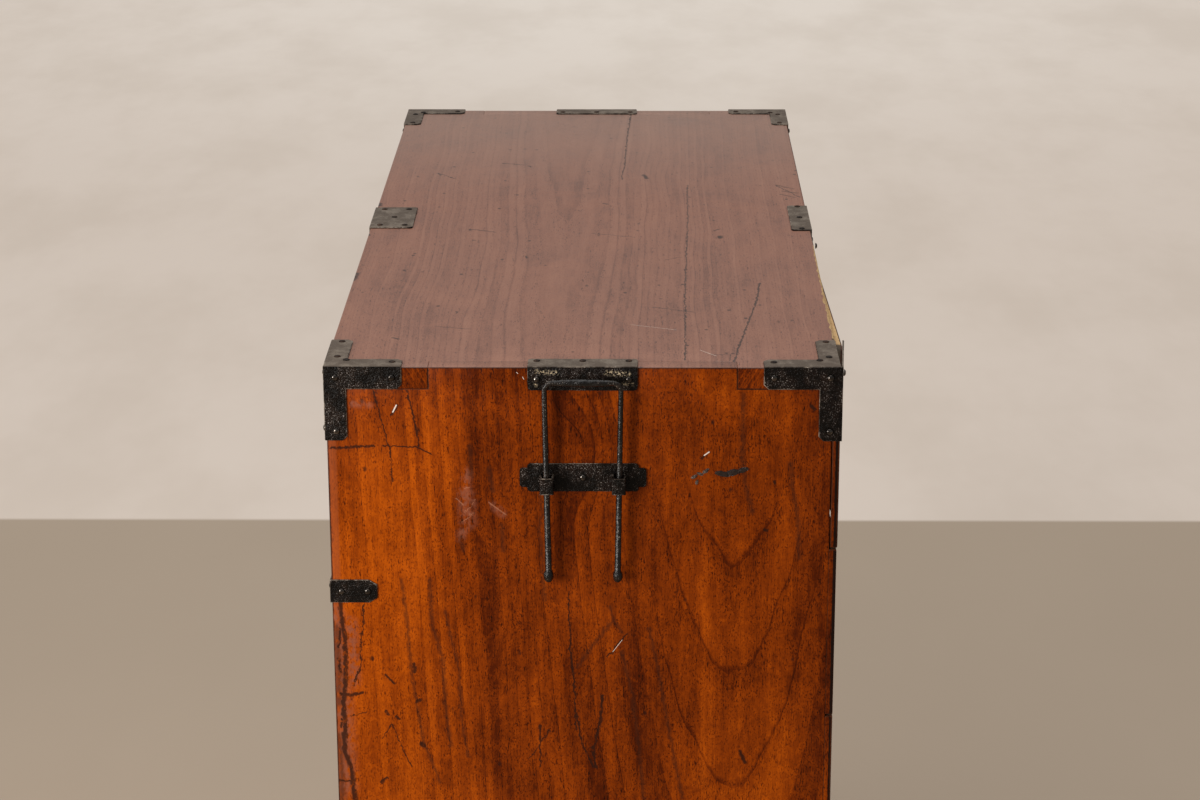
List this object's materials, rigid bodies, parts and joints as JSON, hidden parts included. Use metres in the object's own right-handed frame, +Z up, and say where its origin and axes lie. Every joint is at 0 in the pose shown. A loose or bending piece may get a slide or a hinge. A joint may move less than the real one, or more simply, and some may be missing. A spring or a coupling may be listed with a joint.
{
  "type": "clothing chest",
  "caption": "Sectional wooden clothing chest with full-width locking drawers, iron corner brackets and sliding end handles for a carrying pole.",
  "frame": {"origin": "middle of the lower case's underside, on the floor", "axes": "+X to the right of someone facing the drawers, +Y to the back, +Z up; the drawers open towards -Y"},
  "size_m": [1.007, 0.4552, 0.9784],
  "materials": {
    "lacquered_wood": "worn glossy lacquer",
    "top_wood": "dull worn lacquer",
    "drawer_wood": "bare",
    "black_iron": "pitted black iron"
  },
  "bodies": {
    "lower_case": {"lower_top_board": "lacquered_wood", "lower_bottom_board": "lacquered_wood", "lower_right_side": "lacquered_wood", "lower_left_side": "lacquered_wood", "lower_drawer_rail": "lacquered_wood", "lower_dust_shelf": "drawer_wood", "lower_back_planks": "lacquered_wood", "lower_iron_brackets": "black_iron", "lower_carry_plates": "black_iron", "lower_nails": "black_iron"},
    "upper_case": {"upper_top_board": "top_wood", "upper_bottom_board": "lacquered_wood", "upper_right_side": "lacquered_wood", "upper_left_side": "lacquered_wood", "upper_drawer_rail": "lacquered_wood", "upper_dust_shelf": "drawer_wood", "upper_back_planks": "lacquered_wood", "upper_iron_brackets": "black_iron", "upper_carry_plates": "black_iron", "upper_nails": "black_iron"},
    "upper_right_handle": {"upper_carry_handle_right": "black_iron"},
    "upper_left_handle": {"upper_carry_handle_left": "black_iron"},
    "lower_right_handle": {"lower_carry_handle_right": "black_iron"},
    "lower_left_handle": {"lower_carry_handle_left": "black_iron"},
    "drawer_1": {"drawer_1_front": "lacquered_wood", "drawer_1_walls": "drawer_wood", "drawer_1_back": "drawer_wood", "drawer_1_sole": "drawer_wood", "drawer_1_lock": "black_iron", "drawer_1_bail_posts": "black_iron"},
    "drawer_1_bolt": {"drawer_1_lock_bolt": "black_iron"},
    "drawer_1_left_bail": {"drawer_1_bail_left": "black_iron"},
    "drawer_1_right_bail": {"drawer_1_bail_right": "black_iron"},
    "drawer_2": {"drawer_2_front": "lacquered_wood", "drawer_2_walls": "drawer_wood", "drawer_2_back": "drawer_wood", "drawer_2_sole": "drawer_wood", "drawer_2_lock": "black_iron", "drawer_2_bail_posts": "black_iron"},
    "drawer_2_bolt": {"drawer_2_lock_bolt": "black_iron"},
    "drawer_2_left_bail": {"drawer_2_bail_left": "black_iron"},
    "drawer_2_right_bail": {"drawer_2_bail_right": "black_iron"},
    "drawer_3": {"drawer_3_front": "lacquered_wood", "drawer_3_walls": "drawer_wood", "drawer_3_back": "drawer_wood", "drawer_3_sole": "drawer_wood", "drawer_3_lock": "black_iron", "drawer_3_bail_posts": "black_iron"},
    "drawer_3_bolt": {"drawer_3_lock_bolt": "black_iron"},
    "drawer_3_left_bail": {"drawer_3_bail_left": "black_iron"},
    "drawer_3_right_bail": {"drawer_3_bail_right": "black_iron"},
    "drawer_4": {"drawer_4_front": "lacquered_wood", "drawer_4_walls": "drawer_wood", "drawer_4_back": "drawer_wood", "drawer_4_sole": "drawer_wood", "drawer_4_lock": "black_iron", "drawer_4_bail_posts": "black_iron"},
    "drawer_4_bolt": {"drawer_4_lock_bolt": "black_iron"},
    "drawer_4_left_bail": {"drawer_4_bail_left": "black_iron"},
    "drawer_4_right_bail": {"drawer_4_bail_right": "black_iron"}
  },
  "joints": [
    {"name": "upper_case_lift", "type": "slide", "parent": "lower_case", "child": "upper_case", "axis": [0, 0, 1], "range_m": [0, 0.15]},
    {"name": "upper_right_handle_slide", "type": "slide", "parent": "upper_case", "child": "upper_right_handle", "axis": [0, 0, 1], "range_m": [-0.07, 0.069]},
    {"name": "upper_left_handle_slide", "type": "slide", "parent": "upper_case", "child": "upper_left_handle", "axis": [0, 0, 1], "range_m": [-0.07, 0.069]},
    {"name": "lower_right_handle_slide", "type": "slide", "parent": "lower_case", "child": "lower_right_handle", "axis": [0, 0, 1], "range_m": [-0.07, 0.069]},
    {"name": "lower_left_handle_slide", "type": "slide", "parent": "lower_case", "child": "lower_left_handle", "axis": [0, 0, 1], "range_m": [-0.07, 0.069]},
    {"name": "drawer_1_slide", "type": "slide", "parent": "upper_case", "child": "drawer_1", "axis": [0, -1, 0], "range_m": [0, 0.33]},
    {"name": "drawer_1_bolt_slide", "type": "slide", "parent": "drawer_1", "child": "drawer_1_bolt", "axis": [0, 0, 1], "range_m": [0, 0.008]},
    {"name": "drawer_1_left_bail_swing", "type": "hinge", "parent": "drawer_1", "child": "drawer_1_left_bail", "pos_m": [-0.255, -0.227, 0.88081], "axis": [-1, 0, 0], "range_deg": [-10, 170]},
    {"name": "drawer_1_right_bail_swing", "type": "hinge", "parent": "drawer_1", "child": "drawer_1_right_bail", "pos_m": [0.255, -0.227, 0.88081], "axis": [-1, 0, 0], "range_deg": [-10, 170]},
    {"name": "drawer_2_slide", "type": "slide", "parent": "upper_case", "child": "drawer_2", "axis": [0, -1, 0], "range_m": [0, 0.33]},
    {"name": "drawer_2_bolt_slide", "type": "slide", "parent": "drawer_2", "child": "drawer_2_bolt", "axis": [0, 0, 1], "range_m": [0, 0.008]},
    {"name": "drawer_2_left_bail_swing", "type": "hinge", "parent": "drawer_2", "child": "drawer_2_left_bail", "pos_m": [-0.255, -0.227, 0.65631], "axis": [-1, 0, 0], "range_deg": [-10, 170]},
    {"name": "drawer_2_right_bail_swing", "type": "hinge", "parent": "drawer_2", "child": "drawer_2_right_bail", "pos_m": [0.255, -0.227, 0.65631], "axis": [-1, 0, 0], "range_deg": [-10, 170]},
    {"name": "drawer_3_slide", "type": "slide", "parent": "lower_case", "child": "drawer_3", "axis": [0, -1, 0], "range_m": [0, 0.33]},
    {"name": "drawer_3_bolt_slide", "type": "slide", "parent": "drawer_3", "child": "drawer_3_bolt", "axis": [0, 0, 1], "range_m": [0, 0.008]},
    {"name": "drawer_3_left_bail_swing", "type": "hinge", "parent": "drawer_3", "child": "drawer_3_left_bail", "pos_m": [-0.255, -0.227, 0.39107], "axis": [-1, 0, 0], "range_deg": [-10, 170]},
    {"name": "drawer_3_right_bail_swing", "type": "hinge", "parent": "drawer_3", "child": "drawer_3_right_bail", "pos_m": [0.255, -0.227, 0.39107], "axis": [-1, 0, 0], "range_deg": [-10, 170]},
    {"name": "drawer_4_slide", "type": "slide", "parent": "lower_case", "child": "drawer_4", "axis": [0, -1, 0], "range_m": [0, 0.33]},
    {"name": "drawer_4_bolt_slide", "type": "slide", "parent": "drawer_4", "child": "drawer_4_bolt", "axis": [0, 0, 1], "range_m": [0, 0.008]},
    {"name": "drawer_4_left_bail_swing", "type": "hinge", "parent": "drawer_4", "child": "drawer_4_left_bail", "pos_m": [-0.255, -0.227, 0.15155], "axis": [-1, 0, 0], "range_deg": [-10, 170]},
    {"name": "drawer_4_right_bail_swing", "type": "hinge", "parent": "drawer_4", "child": "drawer_4_right_bail", "pos_m": [0.255, -0.227, 0.15155], "axis": [-1, 0, 0], "range_deg": [-10, 170]}
  ]
}
